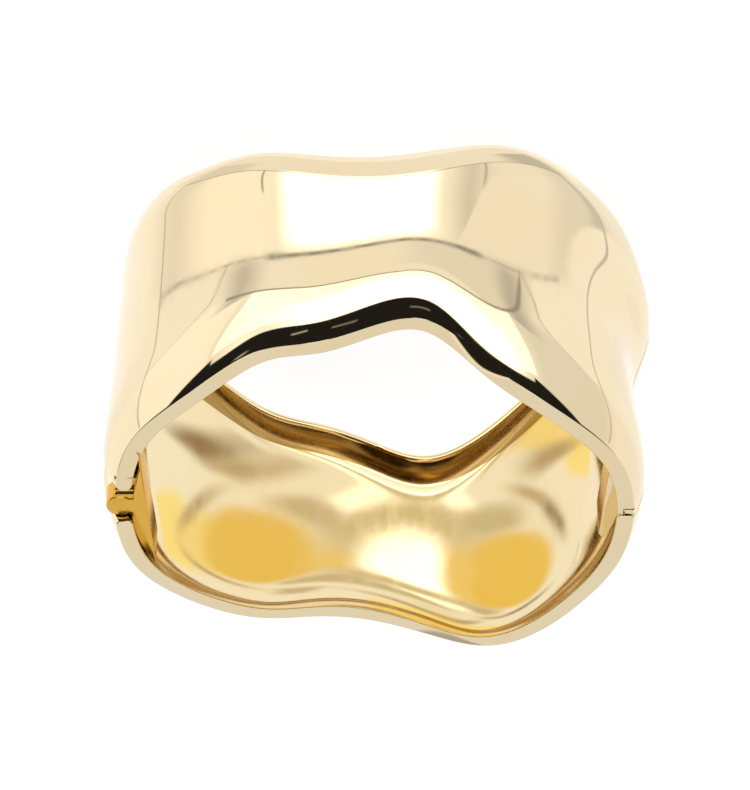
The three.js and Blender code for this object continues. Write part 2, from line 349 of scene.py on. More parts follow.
def bar(radius, start, end):
    """A round bar on the hinge's axis."""
    turn = np.linspace(0, 2 * np.pi, ROUND_SIDES, endpoint=False)
    ring = np.stack([PIN_X + radius * np.cos(turn), radius * np.sin(turn)], axis=-1)
    loops = np.array([np.column_stack([ring, np.full(ROUND_SIDES, z)]) for z in (start, end)])
    return through_loops("bar", loops)


def brick(low, high, edge=0.0):
    """A box between two corners, with its edges cut back if edge isn't 0."""
    low, high = np.array(low, float), np.array(high, float)
    e = max(edge, LEAST_EDGE)
    layers = []
    for z, inset in [(low[2], edge), (low[2] + edge, 0), (high[2] - edge, 0), (high[2], edge)]:
        x0, y0, x1, y1 = low[0] + inset, low[1] + inset, high[0] - inset, high[1] - inset
        plan = [(x0 + e, y0), (x1 - e, y0), (x1, y0 + e), (x1, y1 - e), (x1 - e, y1), (x0 + e, y1)]
        plan += [(x0, y1 - e), (x0, y0 + e)]
        layers.append([(x, y, z) for x, y in plan])
    return through_loops("brick", np.array(layers if edge else [layers[0], layers[3]]))


def cut(made, cutters):
    """Takes the cutters' shapes away from an object."""
    for cutter in cutters:
        modifier = made.modifiers.new("cut", "BOOLEAN")
        modifier.operation = "DIFFERENCE"
        modifier.solver = "MANIFOLD"
        modifier.object = cutter
    evaluated(made)
    for cutter in cutters:
        bpy.data.objects.remove(cutter)
    return made


def joined(name, parts):
    """One object from several."""
    mesh = bpy.data.meshes.new(name)
    shape = bmesh.new()
    for part in parts:
        shape.from_mesh(part.data)
        bpy.data.objects.remove(part)
    shape.to_mesh(mesh)
    shape.free()
    made = bpy.data.objects.new(name, mesh)
    bpy.context.scene.collection.objects.link(made)
    return made


# ---------------------------------------------------------------- finishes

# Where in its noise the polish turns dull and the plating rich, the noise's scale in the plating's colour,
# and the share of the fine waves beside the broad ones.
DULL_FROM = {"edge": 0.55, "soft": 0.2}
RICH_FROM = {"edge": 0.5, "soft": 0.25}
TINT_SCALE = 55
FINE_SHARE = 0.12

# A Mix node's sockets for colours, which have the same names as its sockets for numbers.
FIRST_COLOUR = 6
SECOND_COLOUR = 7
MIXED_COLOUR = 2


class Nodes:
    """A short way to write the nodes of one tree."""

    def __init__(self, tree):
        self.tree = tree

    def add(self, kind, inputs=(), **settings):
        """A new node, with its inputs by name or place and its settings."""
        node = self.tree.nodes.new(kind)
        for key, value in settings.items():
            setattr(node, key, value)
        for key, value in dict(inputs).items():
            self.put(node.inputs[key], value)
        return node

    def put(self, socket, value):
        """Links another socket to this one, or sets it to a plain value."""
        if isinstance(value, bpy.types.NodeSocket):
            self.tree.links.new(value, socket)
        else:
            socket.default_value = value

    def maths(self, operation, *values):
        """The result of one Math node."""
        return self.add("ShaderNodeMath", enumerate(values), operation=operation).outputs[0]

    def step(self, value, edge, soft):
        """Goes from 0 to 1 across an edge, which is soft over a distance to either side."""
        low, high = self.maths("SUBTRACT", edge, soft), self.maths("ADD", edge, soft)
        ends = {"Value": value, "From Min": low, "From Max": high}
        return self.add("ShaderNodeMapRange", ends, interpolation_type="SMOOTHSTEP").outputs["Result"]

    def turned(self, angle, centre):
        """How far an angle in degrees is from a centre, to either side."""
        away = self.maths("SUBTRACT", angle, centre)
        return self.maths("ABSOLUTE", self.maths("WRAP", away, 180.0, -180.0))

    def colours(self, factor, first, second):
        """Goes from the first colour to the second."""
        inputs = {"Factor": factor, FIRST_COLOUR: first, SECOND_COLOUR: second}
        return self.add("ShaderNodeMix", inputs, data_type="RGBA").outputs[MIXED_COLOUR]

    def numbers(self, factor, first, second):
        """Goes from the first number to the second."""
        inputs = {"Factor": factor, "A": first, "B": second}
        return self.add("ShaderNodeMix", inputs, data_type="FLOAT").outputs["Result"]

    def noise(self, place, scale, detail):
        """Soft noise from 0 to 1."""
        inputs = {"Vector": place, "Scale": scale, "Detail": detail}
        return self.add("ShaderNodeTexNoise", inputs).outputs["Fac"]

    def group(self, tree, values):
        """A node group with its own values."""
        node = self.add("ShaderNodeGroup", node_tree=tree)
        for socket, value in values.items():
            self.put(node.inputs[socket], value)
        return node.outputs[0]


def effect(name, inputs, output, kind):
    """An empty node group for an effect that several finishes use, with its inputs and its one output."""
    tree = bpy.data.node_groups.new(name, "ShaderNodeTree")
    for socket, socket_type in inputs.items():
        tree.interface.new_socket(socket, in_out="INPUT", socket_type=socket_type)
    tree.interface.new_socket(output, in_out="OUTPUT", socket_type=kind)
    nodes = Nodes(tree)
    return nodes, nodes.add("NodeGroupInput").outputs, nodes.add("NodeGroupOutput").inputs


def cast_unevenness():
    """The soft unevenness that polishing leaves on a cast surface, broad waves and fine ones."""
    floats = {name: "NodeSocketFloat" for name in ("Broad", "Fine", "Fine Share")}
    inputs = {"Place": "NodeSocketVector", **floats}
    nodes, given, out = effect("cast_unevenness", inputs, "Height", "NodeSocketFloat")
    broad = nodes.noise(given["Place"], given["Broad"], detail=0.0)
    fine = nodes.noise(given["Place"], given["Fine"], detail=1.0)
    nodes.put(out["Height"], nodes.maths("MULTIPLY_ADD", fine, given["Fine Share"], broad))
    return nodes.tree


def polish_marks():
    """Faint marks drawn out along one axis: a mask of where the polish is a little duller."""
    inputs = {"Place": "NodeSocketVector", "Scale": "NodeSocketFloat", "Stretch": "NodeSocketVector"}
    nodes, given, out = effect("polish_marks", inputs, "Dull", "NodeSocketFloat")
    stretch = {0: given["Place"], 1: given["Stretch"]}
    drawn = nodes.add("ShaderNodeVectorMath", stretch, operation="MULTIPLY").outputs[0]
    marks = nodes.noise(drawn, given["Scale"], detail=4.0)
    nodes.put(out["Dull"], nodes.step(marks, DULL_FROM["edge"], DULL_FROM["soft"]))
    return nodes.tree


def plating_tint():
    """Slow changes in the plating's colour, between a pale gold and a richer one."""
    colours = {name: "NodeSocketColor" for name in ("Pale", "Rich")}
    inputs = {"Place": "NodeSocketVector", "Scale": "NodeSocketFloat", **colours}
    nodes, given, out = effect("plating_tint", inputs, "Colour", "NodeSocketColor")
    clouds = nodes.noise(given["Place"], given["Scale"], detail=2.0)
    mask = nodes.step(clouds, RICH_FROM["edge"], RICH_FROM["soft"])
    nodes.put(out["Colour"], nodes.colours(mask, given["Pale"], given["Rich"]))
    return nodes.tree


EFFECTS = {"unevenness": cast_unevenness(), "marks": polish_marks(), "tint": plating_tint()}


def gold(name, finish):
    """A plated metal: the tint, marks and unevenness effects with this finish's own values."""
    made = bpy.data.materials.new(name)
    made.use_nodes = True
    nodes = Nodes(made.node_tree)
    shader = made.node_tree.nodes["Principled BSDF"]
    place = nodes.add("ShaderNodeTexCoord").outputs["Object"]
    colours = {"Pale": (*finish["pale"], 1), "Rich": (*finish["rich"], 1)}
    tint = nodes.group(EFFECTS["tint"], {"Place": place, "Scale": TINT_SCALE, **colours})
    drawn = {"Place": place, "Scale": finish["marks"], "Stretch": finish["stretch"]}
    dull = nodes.group(EFFECTS["marks"], drawn)
    scales = {"Broad": finish["broad"], "Fine": finish["fine"], "Fine Share": FINE_SHARE}
    waves = nodes.group(EFFECTS["unevenness"], {"Place": place, **scales})
    rough = {"Value": dull, "To Min": finish["bright"], "To Max": finish["dull"]}
    bump = {"Strength": 1.0, "Distance": finish["depth"], "Height": waves}
    nodes.put(shader.inputs["Base Color"], tint)
    nodes.put(shader.inputs["Roughness"], nodes.add("ShaderNodeMapRange", rough).outputs["Result"])
    nodes.put(shader.inputs["Normal"], nodes.add("ShaderNodeBump", bump).outputs["Normal"])
    shader.inputs["Metallic"].default_value = 1
    return made


# Each finish has two colours, the roughness where it is bright and where it is dull, the scale and stretch
# of its marks, the scales of its broad and fine waves, and their depth in metres.
POLISHED = {
    "pale": (0.915, 0.775, 0.520), "rich": (0.912, 0.745, 0.470), "bright": 0.025, "dull": 0.05,
    "marks": 900, "stretch": (1, 1, 0.25), "broad": 130, "fine": 420, "depth": 1.1e-5,
}
INSIDE = {
    "pale": (0.915, 0.775, 0.500), "rich": (0.912, 0.735, 0.440), "bright": 0.07, "dull": 0.11,
    "marks": 700, "stretch": (1, 1, 0.3), "broad": 150, "fine": 380, "depth": 2.6e-5,
}
SATIN = {
    "pale": (0.84, 0.51, 0.10), "rich": (0.80, 0.43, 0.05), "bright": 0.2, "dull": 0.32,
    "marks": 1500, "stretch": (1, 0.12, 1), "broad": 260, "fine": 900, "depth": 1.2e-5,
}
PIN_STEEL = {
    "pale": (0.80, 0.70, 0.47), "rich": (0.76, 0.64, 0.40), "bright": 0.16, "dull": 0.3,
    "marks": 1800, "stretch": (1, 1, 0.08), "broad": 300, "fine": 900, "depth": 6e-6,
}
CORNER = {
    "pale": (0.93, 0.74, 0.36), "rich": (0.92, 0.68, 0.27), "bright": 0.4, "dull": 0.5,
    "marks": 1200, "stretch": (1, 1, 0.3), "broad": 260, "fine": 900, "depth": 6e-6,
}
# The back lip's finish is painted shade: a dark brown that darkens the band along the far rim. The lip's
# shape and the mirrored studio darken that band too.
LIP_PAINTED_SHADE = {
    "pale": (0.48, 0.31, 0.11), "rich": (0.40, 0.25, 0.08), "bright": 0.14, "dull": 0.2,
    "marks": 900, "stretch": (1, 1, 0.3), "broad": 200, "fine": 700, "depth": 1e-5,
}

outside_gold = gold("polished_gold", POLISHED)
inside_gold = gold("inside_gold", INSIDE)
satin_gold = gold("satin_gold", SATIN)
pin_steel = gold("gold_plated_pin", PIN_STEEL)
corner_gold = gold("corner_gold", CORNER)
lip_painted_shade = gold("lip_painted_shade", LIP_PAINTED_SHADE)

# The parts of the wall's section that have a finish of their own, one of them the painted shade on the back
# lip, and the lip's share of the height, where that painted shade lies.
WALL_FINISHES = {"outside": outside_gold, "inside": inside_gold, "corner": corner_gold, "lip": lip_painted_shade}
LIP_SHADE_SHARE = 0.085

# ---------------------------------------------------------------- the hinge


def knuckle_tree():
    """A row of round knuckles along +Z, each a short tube with softened edges."""
    tree = bpy.data.node_groups.new("knuckle_row", "GeometryNodeTree")
    sizes = {name: "NodeSocketFloat" for name in ("Radius", "Bore", "Length", "Edge", "Spacing")}
    kinds = {"Geometry": "NodeSocketGeometry", "First": "NodeSocketVector", "Count": "NodeSocketInt"}
    for name, kind in {**kinds, **sizes, "Finish": "NodeSocketMaterial"}.items():
        tree.interface.new_socket(name, in_out="INPUT", socket_type=kind)
    tree.interface.new_socket("Geometry", in_out="OUTPUT", socket_type="NodeSocketGeometry")
    nodes = Nodes(tree)
    given = nodes.add("NodeGroupInput").outputs
    both = nodes.maths("ADD", given["Radius"], given["Bore"])
    mean = nodes.maths("MULTIPLY", both, 0.5)
    thick = nodes.maths("SUBTRACT", given["Radius"], given["Bore"])
    ring = nodes.add("GeometryNodeCurvePrimitiveCircle", {"Resolution": ROUND_SIDES, "Radius": mean})
    plan = nodes.add("GeometryNodeCurvePrimitiveQuadrilateral", {"Width": thick, "Height": given["Length"]})
    rounding = {"Curve": plan.outputs[0], "Count": KNUCKLE_EDGE_STEPS, "Radius": given["Edge"]}
    soft = nodes.add("GeometryNodeFilletCurve", rounding, mode="POLY")
    curves = {"Curve": ring.outputs[0], "Profile Curve": soft.outputs[0]}
    tube = nodes.add("GeometryNodeCurveToMesh", curves)
    step = nodes.add("ShaderNodeCombineXYZ", {"Z": given["Spacing"]})
    places = {"Count": given["Count"], "Start Location": given["First"], "Offset": step.outputs[0]}
    row = nodes.add("GeometryNodeMeshLine", places)
    on_points = {"Points": row.outputs[0], "Instance": tube.outputs[0]}
    copies = nodes.add("GeometryNodeInstanceOnPoints", on_points)
    real = nodes.add("GeometryNodeRealizeInstances", {"Geometry": copies.outputs[0]})
    finished = {"Geometry": real.outputs[0], "Material": given["Finish"]}
    done = nodes.add("GeometryNodeSetMaterial", finished)
    nodes.add("NodeGroupOutput", {"Geometry": done.outputs[0]})
    return tree


KNUCKLE_ROW = knuckle_tree()
KNUCKLE_STEP = KNUCKLE_LENGTH + RUNNING_GAP


def knuckle_span(k):
    """The heights that a knuckle goes from and to, counted from the back."""
    start = KNUCKLES_FROM + k * KNUCKLE_STEP
    return start, start + KNUCKLE_LENGTH


BLOCK_KNUCKLES = [knuckle_span(k) for k in range(0, KNUCKLE_COUNT, 2)]
LOWER_KNUCKLES = [knuckle_span(k) for k in range(1, KNUCKLE_COUNT, 2)]
WHOLE_HINGE = [(KNUCKLES_FROM, knuckle_span(KNUCKLE_COUNT - 1)[1])]


def knuckle_row(name, spans, finish):
    """Every other knuckle of the hinge, made by the node tree."""
    mesh = bpy.data.meshes.new(name)
    made = bpy.data.objects.new(name, mesh)
    bpy.context.scene.collection.objects.link(made)
    first = (Vector((PIN_X, 0, sum(spans[0]) / 2)) + PLACE) * MM
    values = {
        "First": first,
        "Count": len(spans),
        "Radius": KNUCKLE_RADIUS * MM,
        "Bore": PIN_BORE * MM,
        "Length": KNUCKLE_LENGTH * MM,
        "Edge": KNUCKLE_EDGE * MM,
        "Spacing": 2 * KNUCKLE_STEP * MM,
        "Finish": finish,
    }
    modifier = made.modifiers.new("knuckles", "NODES")
    modifier.node_group = KNUCKLE_ROW
    for item in KNUCKLE_ROW.interface.items_tree:
        if item.in_out == "INPUT" and item.name in values:
            modifier[item.identifier] = values[item.name]
    return smooth(evaluated(made), SMALL_CREASE)


def clearing(spans):
    """Bars that clear the given knuckles by the running gap."""
    radius = KNUCKLE_RADIUS + RUNNING_GAP
    return joined("clearing", [bar(radius, a - RUNNING_GAP, b + RUNNING_GAP) for a, b in spans])


def lugs(gap=0):
    """The lugs that join the block's knuckles to its leaf or, with a gap, the room for them."""
    wide = LUG["width"] / 2 + gap
    spans = [(a - gap, b + gap) for a, b in BLOCK_KNUCKLES]
    low = PIN_X - LUG["reach"]
    back = 0 if gap else LUG["set_back"]
    return joined("lugs", [brick((low, -wide, a + back), (PIN_X, wide, b - back)) for a, b in spans])


def boss(gap=0):
    """The boss and bars that close the hinge's opening or, with a gap, the room for them, open in front."""
    start = FILLERS["block"]["to"] - BOSS["thick"] - gap
    to = FILLERS["block"]["to"] + (CUT_PAST if gap else -BOSS["set_back"])
    edge = 0 if gap else BOSS["edge"]
    layers = [(start, 0), (to - edge, 0), (to - edge / 3, edge / 3), (to, edge)]
    if gap:
        layers = [(start, 0), (to, 0)]
    radius = BOSS["radius"] + gap
    turn = np.linspace(0, 2 * np.pi, ROUND_SIDES, endpoint=False)
    loops = []
    for z, inset in layers:
        across = PIN_X + (radius - inset) * np.cos(turn)
        along = (radius - inset) * np.sin(turn)
        loops.append(np.column_stack([across, along, np.full(ROUND_SIDES, z)]))
    shapes = [through_loops("boss", np.array(loops))]
    for row in BOSS_BARS:
        low = (PIN_X - BOSS_BAR["reach"] - gap, row["near"] - gap, start)
        high = (PIN_X + BOSS_BAR["past_pin"], radius - BOSS_BAR["inset"], to - row["set_back"])
        shapes.append(brick(low, high, edge))
    return shapes


# ---------------------------------------------------------------- the flat-sided pieces inside


def filler(name, plan, knuckle=None, fall=LEVEL):
    """A flat-sided piece that fills the wall's curve, up to a plane on the wrist's side.

    A knuckle's radius, if one is given, is worked into the outline where the hinge's axis runs. The front
    face falls away on the upper half's side, from a start and by a slope."""
    outward = math.copysign(1, plan["x"])
    tilt = math.radians(plan["tilt"])
    along = np.array([-math.sin(tilt), math.cos(tilt)])
    out = outward * np.array([math.cos(tilt), math.sin(tilt)])
    origin = np.array([plan["x"], plan["y"]])
    half, corner = plan["length"] / 2, plan["corner"]

    def wall_depth(u, z):
        """From the plane out to the wall, less the seat's gap, worked out in a few tries."""
        v = np.zeros_like(u)
        for _ in range(WALL_TRIES):
            p = origin + u[:, None] * along + v[:, None] * out
            inside = outside_radius(np.degrees(np.arctan2(p[:, 1], p[:, 0])), z) - WALL - plan["gap"]
            v = v + (inside - np.hypot(p[:, 0], p[:, 1]))
        return v

    turn = np.linspace(0, np.pi / 2, FILLER_CORNER)
    ends = half - corner * (1 - np.sin(turn))
    u_full = np.concatenate([-ends[::-1], np.linspace(-ends[0], ends[0], FILLER_STATIONS)[1:-1], ends])

    def outline(z, inset):
        """One loop of the piece at a height, set in from its full outline."""
        u = u_full * (half - inset) / half
        reach = np.clip(np.abs(u) - (half - inset - corner), 0, corner)
        rounding = corner - np.sqrt(corner**2 - reach**2)
        low = inset + rounding
        high = np.maximum(wall_depth(u, z) - inset - rounding, low + LEAST_DEPTH)
        flat = origin + u[:, None] * along + low[:, None] * out
        back = origin + u[:, None] * along + high[:, None] * out
        if knuckle:
            radius = knuckle - inset
            near = np.abs(back[:, 1]) <= radius
            sine = np.clip(back[:, 1] / radius, -1, 1)
            back[near, 0] = PIN_X + radius * np.sqrt(1 - sine[near] ** 2)
        loop = np.concatenate([flat, back[::-1]])
        past = np.maximum(fall["start"] - loop[:, 1], 0)
        drop = past * fall["slope"] * (z - plan["from"]) / (plan["to"] - plan["from"])
        return np.column_stack([loop, z - drop])

    edge, start, to = FILLER_EDGE, plan["from"], plan["to"]
    soft = np.linspace(0, np.pi / 2, FILLER_SOFT)
    rows = [(start + edge * (1 - np.cos(a)), edge * (1 - np.sin(a))) for a in soft]
    rows += [(z, 0) for z in np.linspace(start + edge, to - edge, FILLER_LEVELS)[1:-1]]
    rows += [(to - edge * (1 - np.cos(a)), edge * (1 - np.sin(a))) for a in soft[::-1]]
    return through_loops(name, np.array([outline(z, inset) for z, inset in rows]))


# ---------------------------------------------------------------- the pieces


def finish_piece(made, body, node):
    """Puts a piece on its body, and hides the node that it takes the place of, if it has one."""
    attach(made, body)
    if node:
        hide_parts(node)


def painted(made, finish):
    """Gives a piece one finish."""
    made.data.materials.clear()
    made.data.materials.append(finish)
    return made


def wall(name, side, draw, cutters):
    """One half of the band, with a finish each for the outside, inside and front corner, and painted shade
    on the back lip.
    """
    shell = through_loops(name, half_band(side, draw))
    for finish in WALL_FINISHES.values():
        shell.data.materials.append(finish)
    slot = {part: k for k, part in enumerate(WALL_FINISHES)}
    share, _, depth = wall_profile().T
    inside = depth >= WALL - TINY
    slots = np.full(len(share), slot["outside"])
    slots[inside] = slot["inside"]
    slots[(share == 1) & (depth > OUTER_EDGE)] = slot["corner"]
    # The inside near the back rim gets the lip's painted shade.
    slots[(share < LIP_SHADE_SHARE) & inside] = slot["lip"]
    for polygon in shell.data.polygons:
        ends = {slots[v % len(share)] for v in polygon.vertices}
        outside = slot["outside"] in ends
        polygon.material_index = slot["outside"] if outside else max(ends)
    return smooth(cut(shell, cutters), WALL_CREASE)


def nib_box(gap=0, past=0):
    """The nib or, with a gap, the room for it, which runs past the nib in front."""
    wide, reach, deep = NIB["width"] / 2 + gap, NIB["reach"] + gap, NIB["depth"] / 2
    low = (NIB["x"] - wide, -reach, NIB["z"] - deep - gap)
    high = (NIB["x"] + wide, reach, NIB["z"] + deep + past)
    return brick(low, high, 0 if gap else NIB["edge"])


def lower_half():
    """The fixed half's wall, with room for the block's knuckles, lugs and boss."""
    cutters = [clearing(BLOCK_KNUCKLES), lugs(RUNNING_GAP), *boss(BOSS["room"])]
    made = wall("lower_wall", 1, LOWER_DRAW, cutters)
    finish_piece(made, "lower", "lower_half")


def upper_half():
    """The opening half's wall, with room for the hinge and a notch for the nib."""
    notch = nib_box(NOTCH_GAP, NIB["depth"] / 2)
    made = wall("upper_wall", -1, UPPER_DRAW, [clearing(WHOLE_HINGE), lugs(RUNNING_GAP), notch])
    finish_piece(made, "upper", "upper_half")


def closing_nib():
    """The nib that fits the notch when the bangle is shut."""
    made = painted(smooth(nib_box(), SMALL_CREASE), outside_gold)
    made.name = "nib"
    finish_piece(made, "lower", None)


def lower_knuckles():
    """The lower half's knuckles."""
    made = knuckle_row("lower_knuckles", LOWER_KNUCKLES, inside_gold)
    finish_piece(made, "lower", None)


def hinge_block():
    """The block at the hinge, with its leaf, lugs and boss, and its knuckles."""
    face = filler("block_face", FILLERS["block"], KNUCKLE_RADIUS + KNUCKLE_LAP, BLOCK_FALL)
    leaf = cut(filler("block_leaf", FILLERS["leaf"]), [clearing(LOWER_KNUCKLES)])
    made = joined("block", [face, leaf, lugs(), *boss()])
    finish_piece(painted(smooth(made, FLAT_CREASE), satin_gold), "upper", "hinge_block")
    knuckles = knuckle_row("block_knuckles", BLOCK_KNUCKLES, satin_gold)
    finish_piece(knuckles, "upper", None)


def closing_tongue():
    """The tongue at the closure, bright in front and satin on its sides."""
    made = painted(smooth(filler("tongue", FILLERS["tongue"]), FLAT_CREASE), inside_gold)
    made.data.materials.append(satin_gold)
    for polygon in made.data.polygons:
        polygon.material_index = 0 if polygon.normal.z > FACING_FRONT else 1
    finish_piece(made, "upper", "closure_tongue")


lower_half()
upper_half()
closing_nib()
lower_knuckles()
hinge_block()
closing_tongue()
painted(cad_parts["hinge_pin"], pin_steel)

# ---------------------------------------------------------------- floor, light and camera

# The floor is plain, pale and matt, and mirrored light doesn't see it.
FLOOR = {"grey": 0.14, "glow": 0.9, "half": 4.0}


def stage_flat(name, corners, finish):
    """A flat piece of the stage, with its corners in metres."""
    mesh = bpy.data.meshes.new(name)
    mesh.from_pydata(corners, [], [list(range(len(corners)))])
    mesh.materials.append(finish)
    made = bpy.data.objects.new(name, mesh)
    bpy.context.scene.collection.objects.link(made)
    return made


def pale_floor():
    """The floor that the bangle lies on."""
    finish = bpy.data.materials.new("floor")
    finish.use_nodes = True
    shader = finish.node_tree.nodes["Principled BSDF"]
    shader.inputs["Base Color"].default_value = (FLOOR["grey"], FLOOR["grey"], FLOOR["grey"], 1)
    shader.inputs["Roughness"].default_value = 1
    shader.inputs["Emission Color"].default_value = (1, 1, 1, 1)
    shader.inputs["Emission Strength"].default_value = FLOOR["glow"]
    half = FLOOR["half"]
    corners = [(-half, -half, 0), (half, -half, 0), (half, half, 0), (-half, half, 0)]
    made = stage_flat("floor", corners, finish)
    made.visible_glossy = False


# The floor inside the hollow, as mirrored light alone sees it: a pale glowing oval with painted light and
# shade on it. There are painted pools of light where light comes in under the raised back rim, painted
# gold-tinted light thrown by the walls, and painted shade near the walls' foot. Each patch is a squarish
# oval. It has a place, a half width and a half depth in millimetres, a turn in degrees, a share over which
# its edge is soft, and a colour. Later rows lie over earlier ones.
HOLLOW = {"half_long": 28.8, "half_short": 25.8, "up": 0.02, "sides": 96}
HOLLOW_COLOUR = (1.0, 1.0, 0.97, 1)
SQUARISH = 3.0
HOLLOW_PAINTED_LIGHT_AND_SHADE = [
    {"x": 3, "y": -9, "wide": 9, "deep": 6, "turn": 0, "soft": 0.4, "colour": (1.3, 1.3, 1.2)},
    {"x": -8, "y": 23, "wide": 6, "deep": 4.5, "turn": 0, "soft": 0.3, "colour": (1.06, 0.93, 0.42)},
    {"x": -10.5, "y": 15.5, "wide": 4.5, "deep": 5, "turn": 0, "soft": 0.4, "colour": (1.0, 0.85, 0.40)},
    {"x": -5.5, "y": 16.6, "wide": 4.4, "deep": 1.1, "turn": -32, "soft": 0.8, "colour": (0.54, 0.43, 0.27)},
    {"x": 6.8, "y": 16.9, "wide": 4.0, "deep": 1.3, "turn": 30, "soft": 0.7, "colour": (0.34, 0.25, 0.15)},
    {"x": 2.4, "y": 13.4, "wide": 2.4, "deep": 1.1, "turn": 52, "soft": 0.8, "colour": (0.58, 0.48, 0.32)},
    {"x": -9.2, "y": 5.8, "wide": 5.8, "deep": 7.8, "turn": 0, "soft": 0.2, "colour": (0.89, 0.67, 0.19)},
    {"x": 14.7, "y": 4.5, "wide": 6.9, "deep": 10.8, "turn": -6, "soft": 0.18, "colour": (0.91, 0.68, 0.18)},
    {"x": -4.2, "y": -0.8, "wide": 2.4, "deep": 1.8, "turn": 0, "soft": 0.4, "colour": (0.94, 0.73, 0.25)},
    {"x": 8.8, "y": -1.0, "wide": 2.4, "deep": 1.8, "turn": 0, "soft": 0.4, "colour": (0.95, 0.75, 0.27)},
    {"x": 2.0, "y": 4.8, "wide": 3.4, "deep": 1.4, "turn": 0, "soft": 0.5, "colour": (1.7, 1.7, 1.6)},
    {"x": 5.4, "y": 6.5, "wide": 2.3, "deep": 4.5, "turn": 0, "soft": 0.5, "colour": (0.66, 0.60, 0.45)},
    {"x": -1.8, "y": 5.4, "wide": 1.1, "deep": 3.2, "turn": 0, "soft": 0.5, "colour": (0.64, 0.57, 0.41)},
    {"x": 2.0, "y": 1.4, "wide": 5.0, "deep": 1.5, "turn": 0, "soft": 0.4, "colour": (0.70, 0.62, 0.40)},
    {"x": 2.4, "y": -2.6, "wide": 4.2, "deep": 1.8, "turn": 0, "soft": 0.25, "colour": (2.4, 2.4, 2.3)},
]


def distance_out(nodes, x, y, glow):
    """How far out of a patch's middle a place lies, as a share of the way to the patch's edge."""
    cosine, sine = math.cos(math.radians(glow["turn"])), math.sin(math.radians(glow["turn"]))
    aside = nodes.maths("SUBTRACT", x, glow["x"])
    ahead = nodes.maths("SUBTRACT", y, glow["y"])
    along = nodes.maths("MULTIPLY_ADD", aside, cosine, nodes.maths("MULTIPLY", ahead, sine))
    across = nodes.maths("MULTIPLY_ADD", ahead, cosine, nodes.maths("MULTIPLY", aside, -sine))
    powers = []
    for way, reach in ((along, glow["wide"]), (across, glow["deep"])):
        share = nodes.maths("ABSOLUTE", nodes.maths("DIVIDE", way, reach))
        powers.append(nodes.maths("POWER", share, SQUARISH))
    return nodes.maths("POWER", nodes.maths("ADD", *powers), 1 / SQUARISH)


def hollow_floor_painted_light():
    """The floor in the hollow, seen by nothing but mirrored light: a glowing disc with painted light and
    shade.
    """
    finish = bpy.data.materials.new("hollow_floor_painted_light")
    finish.use_nodes = True
    finish.node_tree.nodes.clear()
    nodes = Nodes(finish.node_tree)
    way = nodes.add("ShaderNodeSeparateXYZ", {0: nodes.add("ShaderNodeTexCoord").outputs["Object"]})
    x = nodes.maths("MULTIPLY_ADD", way.outputs["X"], 1 / MM, -PLACE.x)
    y = nodes.maths("MULTIPLY_ADD", way.outputs["Y"], 1 / MM, -PLACE.y)
    colour = HOLLOW_COLOUR
    # Each patch lays painted light or painted shade over the pale glow.
    for glow in HOLLOW_PAINTED_LIGHT_AND_SHADE:
        outside = nodes.step(distance_out(nodes, x, y, glow), 1.0, glow["soft"])
        colour = nodes.colours(outside, (*glow["colour"], 1), colour)
    light = nodes.add("ShaderNodeEmission", {"Color": colour, "Strength": 1.0})
    nodes.add("ShaderNodeOutputMaterial", {"Surface": light.outputs[0]})
    corners = []
    for turn in np.linspace(0, 2 * np.pi, HOLLOW["sides"], endpoint=False):
        along, across = HOLLOW["half_long"] * math.cos(turn), HOLLOW["half_short"] * math.sin(turn)
        corners.append((Vector((PLACE.x + along, PLACE.y + across, HOLLOW["up"])) * MM).to_tuple())
    made = stage_flat("hollow_floor_painted_light", corners, finish)
    made.visible_camera = False
    made.visible_diffuse = False
    made.visible_transmission = False
    made.visible_shadow = False


